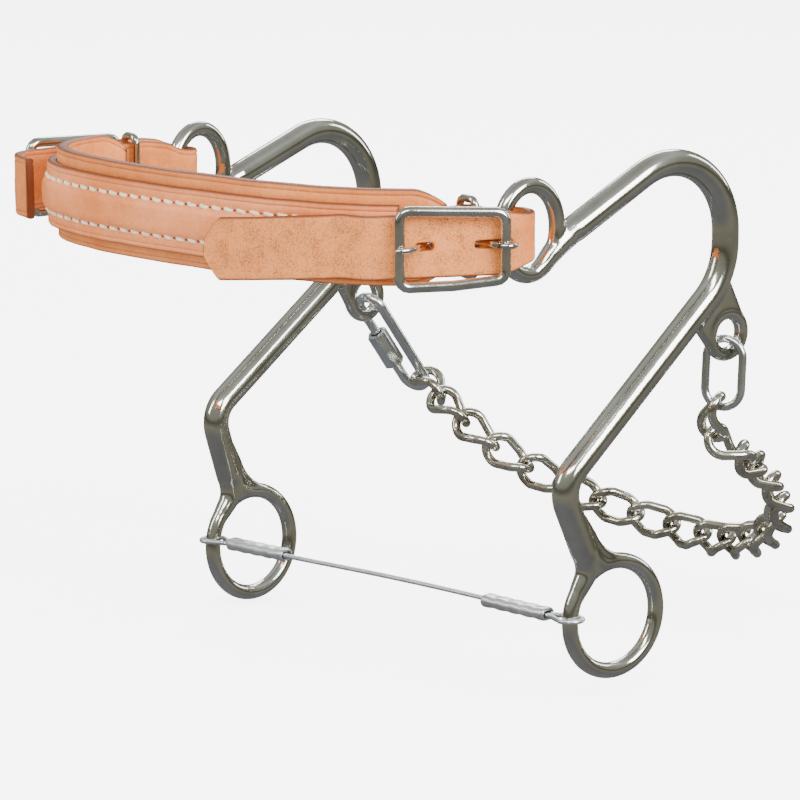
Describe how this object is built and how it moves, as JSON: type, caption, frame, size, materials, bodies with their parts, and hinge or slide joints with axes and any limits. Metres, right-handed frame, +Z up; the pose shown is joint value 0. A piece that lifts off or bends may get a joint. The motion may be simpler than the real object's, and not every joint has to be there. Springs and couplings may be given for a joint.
{
  "type": "bitless hackamore",
  "caption": "Bitless hackamore with a padded leather noseband buckled round rings on two curved steel cheeks, joined below by a curb chain and a spreader cable.",
  "frame": {"origin": "middle of the inner face of the noseband's base, where it bears on the nose", "axes": "+X to the wearer's left, +Y back from the nose to the curb chain, +Z up"},
  "size_m": [0.1818, 0.2038, 0.1547],
  "materials": {
    "leather": "smooth vegetable-tanned",
    "leather_pale": "rough flesh side",
    "steel": "polished stainless steel",
    "nickel": "bright nickel plate",
    "cable": "stranded steel cable",
    "aluminium": "pressed, dull"
  },
  "bodies": {
    "noseband": {"noseband_base": "leather", "noseband_filler": "leather_pale", "noseband_overlay": "leather", "left_strap": "leather", "right_strap": "leather", "left_strap_loop": "nickel", "right_strap_loop": "nickel"},
    "left_cheek": {"left_shank": "steel"},
    "right_cheek": {"right_shank": "steel"},
    "left_frame": {"left_buckle_frame": "nickel"},
    "left_tongue": {"left_buckle_tongue": "nickel"},
    "right_frame": {"right_buckle_frame": "nickel"},
    "right_tongue": {"right_buckle_tongue": "nickel"},
    "quick_link": {"quick_link_body": "nickel"},
    "quick_sleeve": {"quick_link_sleeve": "nickel"},
    "connector": {"connector_link": "nickel"},
    "spreader": {"spreader_cable": "cable", "left_cable_ferrule": "aluminium", "right_cable_ferrule": "aluminium"},
    "link_01": {"curb_link_01": "nickel"},
    "link_02": {"curb_link_02": "nickel"},
    "link_03": {"curb_link_03": "nickel"},
    "link_04": {"curb_link_04": "nickel"},
    "link_05": {"curb_link_05": "nickel"},
    "link_06": {"curb_link_06": "nickel"},
    "link_07": {"curb_link_07": "nickel"},
    "link_08": {"curb_link_08": "nickel"},
    "link_09": {"curb_link_09": "nickel"},
    "link_10": {"curb_link_10": "nickel"},
    "link_11": {"curb_link_11": "nickel"},
    "link_12": {"curb_link_12": "nickel"},
    "link_13": {"curb_link_13": "nickel"},
    "link_14": {"curb_link_14": "nickel"},
    "link_15": {"curb_link_15": "nickel"},
    "link_16": {"curb_link_16": "nickel"},
    "link_17": {"curb_link_17": "nickel"},
    "link_18": {"curb_link_18": "nickel"},
    "link_19": {"curb_link_19": "nickel"}
  },
  "joints": [
    {"name": "right_cheek_swing", "type": "hinge", "parent": "noseband", "child": "right_cheek", "pos_m": [-0.07892, 0.0578, 0], "axis": [1, 0, 0], "range_deg": [-3, 12]},
    {"name": "left_cheek_swing", "type": "hinge", "parent": "noseband", "child": "left_cheek", "pos_m": [0.0782, 0.0578, 0], "axis": [1, 0, 0], "range_deg": [-3, 12]},
    {"name": "left_frame_swing", "type": "hinge", "parent": "noseband", "child": "left_frame", "pos_m": [0.08749, 0.04473, -0.001], "axis": [0, 0, -1], "range_deg": [-1, 1.5]},
    {"name": "left_tongue_swing", "type": "hinge", "parent": "noseband", "child": "left_tongue", "pos_m": [0.08749, 0.04473, -0.001], "axis": [0, 0, -1], "range_deg": [-1, 0.5]},
    {"name": "right_frame_swing", "type": "hinge", "parent": "noseband", "child": "right_frame", "pos_m": [-0.0844, 0.03468, 0.0005], "axis": [0, 0, 1], "range_deg": [-1, 1.5]},
    {"name": "right_tongue_swing", "type": "hinge", "parent": "noseband", "child": "right_tongue", "pos_m": [-0.0844, 0.03468, 0.0005], "axis": [0, 0, 1], "range_deg": [-1, 0.5]},
    {"name": "quick_link_swing", "type": "hinge", "parent": "right_cheek", "child": "quick_link", "pos_m": [-0.08423, 0.12843, -0.05122], "axis": [0.9991, 0.0231, -0.0365], "range_deg": [0, 1]},
    {"name": "quick_sleeve_slide", "type": "slide", "parent": "quick_link", "child": "quick_sleeve", "axis": [0.074, 0.5451, -0.8351], "range_m": [-0.0065, 0]},
    {"name": "link_01_swing", "type": "hinge", "parent": "quick_link", "child": "link_01", "pos_m": [-0.07946, 0.14764, -0.07551], "axis": [-0.9887, 0.0967, -0.1148], "range_deg": [-1, 0]},
    {"name": "link_02_swing", "type": "hinge", "parent": "link_01", "child": "link_02", "pos_m": [-0.06843, 0.1435, -0.08088], "axis": [0.9844, -0.0757, 0.1588], "range_deg": [0, 1]},
    {"name": "link_03_swing", "type": "hinge", "parent": "link_02", "child": "link_03", "pos_m": [-0.05751, 0.14513, -0.08671], "axis": [-0.973, 0.0925, -0.2113], "range_deg": [-1, 0]},
    {"name": "link_04_swing", "type": "hinge", "parent": "link_03", "child": "link_04", "pos_m": [-0.04822, 0.14939, -0.09384], "axis": [0.9526, -0.1292, 0.2756], "range_deg": [0, 1]},
    {"name": "link_05_swing", "type": "hinge", "parent": "link_04", "child": "link_05", "pos_m": [-0.04059, 0.15697, -0.10025], "axis": [-0.9229, 0.1919, -0.3337], "range_deg": [-1, 0]},
    {"name": "link_06_swing", "type": "hinge", "parent": "link_05", "child": "link_06", "pos_m": [-0.03286, 0.16496, -0.10598], "axis": [0.8844, -0.2601, 0.3875], "range_deg": [0, 1]},
    {"name": "link_07_swing", "type": "hinge", "parent": "link_06", "child": "link_07", "pos_m": [-0.02506, 0.17336, -0.11108], "axis": [-0.8366, 0.3324, -0.4353], "range_deg": [-1, 0]},
    {"name": "link_08_swing", "type": "hinge", "parent": "link_07", "child": "link_08", "pos_m": [-0.01573, 0.18078, -0.11507], "axis": [0.7802, -0.4021, 0.4792], "range_deg": [0, 1]},
    {"name": "link_09_swing", "type": "hinge", "parent": "link_08", "child": "link_09", "pos_m": [-0.00452, 0.18591, -0.11773], "axis": [-0.7162, 0.4631, -0.5221], "range_deg": [-1, 0]},
    {"name": "link_10_swing", "type": "hinge", "parent": "link_09", "child": "link_10", "pos_m": [0.00793, 0.1878, -0.11869], "axis": [0.6484, -0.5105, 0.5648], "range_deg": [0, 1]},
    {"name": "link_11_swing", "type": "hinge", "parent": "link_10", "child": "link_11", "pos_m": [0.02041, 0.18664, -0.1175], "axis": [-0.5818, 0.5449, -0.6038], "range_deg": [-1, 0]},
    {"name": "link_12_swing", "type": "hinge", "parent": "link_11", "child": "link_12", "pos_m": [0.03246, 0.18434, -0.11473], "axis": [0.5103, -0.5774, 0.6373], "range_deg": [0, 1]},
    {"name": "link_13_swing", "type": "hinge", "parent": "link_12", "child": "link_13", "pos_m": [0.04391, 0.18119, -0.11048], "axis": [-0.4316, 0.6104, -0.6642], "range_deg": [-1, 0]},
    {"name": "link_14_swing", "type": "hinge", "parent": "link_13", "child": "link_14", "pos_m": [0.05393, 0.17702, -0.10397], "axis": [0.3551, -0.6466, 0.6751], "range_deg": [0, 1]},
    {"name": "link_15_swing", "type": "hinge", "parent": "link_14", "child": "link_15", "pos_m": [0.06188, 0.17114, -0.09602], "axis": [-0.2899, 0.6776, -0.6759], "range_deg": [-1, 0]},
    {"name": "link_16_swing", "type": "hinge", "parent": "link_15", "child": "link_16", "pos_m": [0.06604, 0.16272, -0.08766], "axis": [0.2784, -0.6795, 0.6788], "range_deg": [0, 1]},
    {"name": "link_17_swing", "type": "hinge", "parent": "link_16", "child": "link_17", "pos_m": [0.06816, 0.15286, -0.08011], "axis": [-0.3188, 0.6344, -0.7042], "range_deg": [-1, 0]},
    {"name": "link_18_swing", "type": "hinge", "parent": "link_17", "child": "link_18", "pos_m": [0.07677, 0.14379, -0.07483], "axis": [0.0836, -0.547, 0.8329], "range_deg": [0, 1]},
    {"name": "link_19_swing", "type": "hinge", "parent": "link_18", "child": "link_19", "pos_m": [0.07046, 0.13414, -0.06731], "axis": [-0.6166, 0.1482, -0.7732], "range_deg": [-1, 0]},
    {"name": "connector_swing", "type": "hinge", "parent": "left_cheek", "child": "connector", "pos_m": [0.0782, 0.1329, -0.0387], "axis": [0.0186, -0.0382, -0.9991], "range_deg": [-2.5, 2.5]},
    {"name": "spreader_swing", "type": "hinge", "parent": "left_cheek", "child": "spreader", "pos_m": [0.0782, 0.07591, -0.112], "axis": [-0.9948, -0.0986, -0.0244], "range_deg": [-4, 4]}
  ],
  "couplings": [
    {"joint": "left_cheek_swing", "follows": "right_cheek_swing", "ratio": 1}
  ]
}
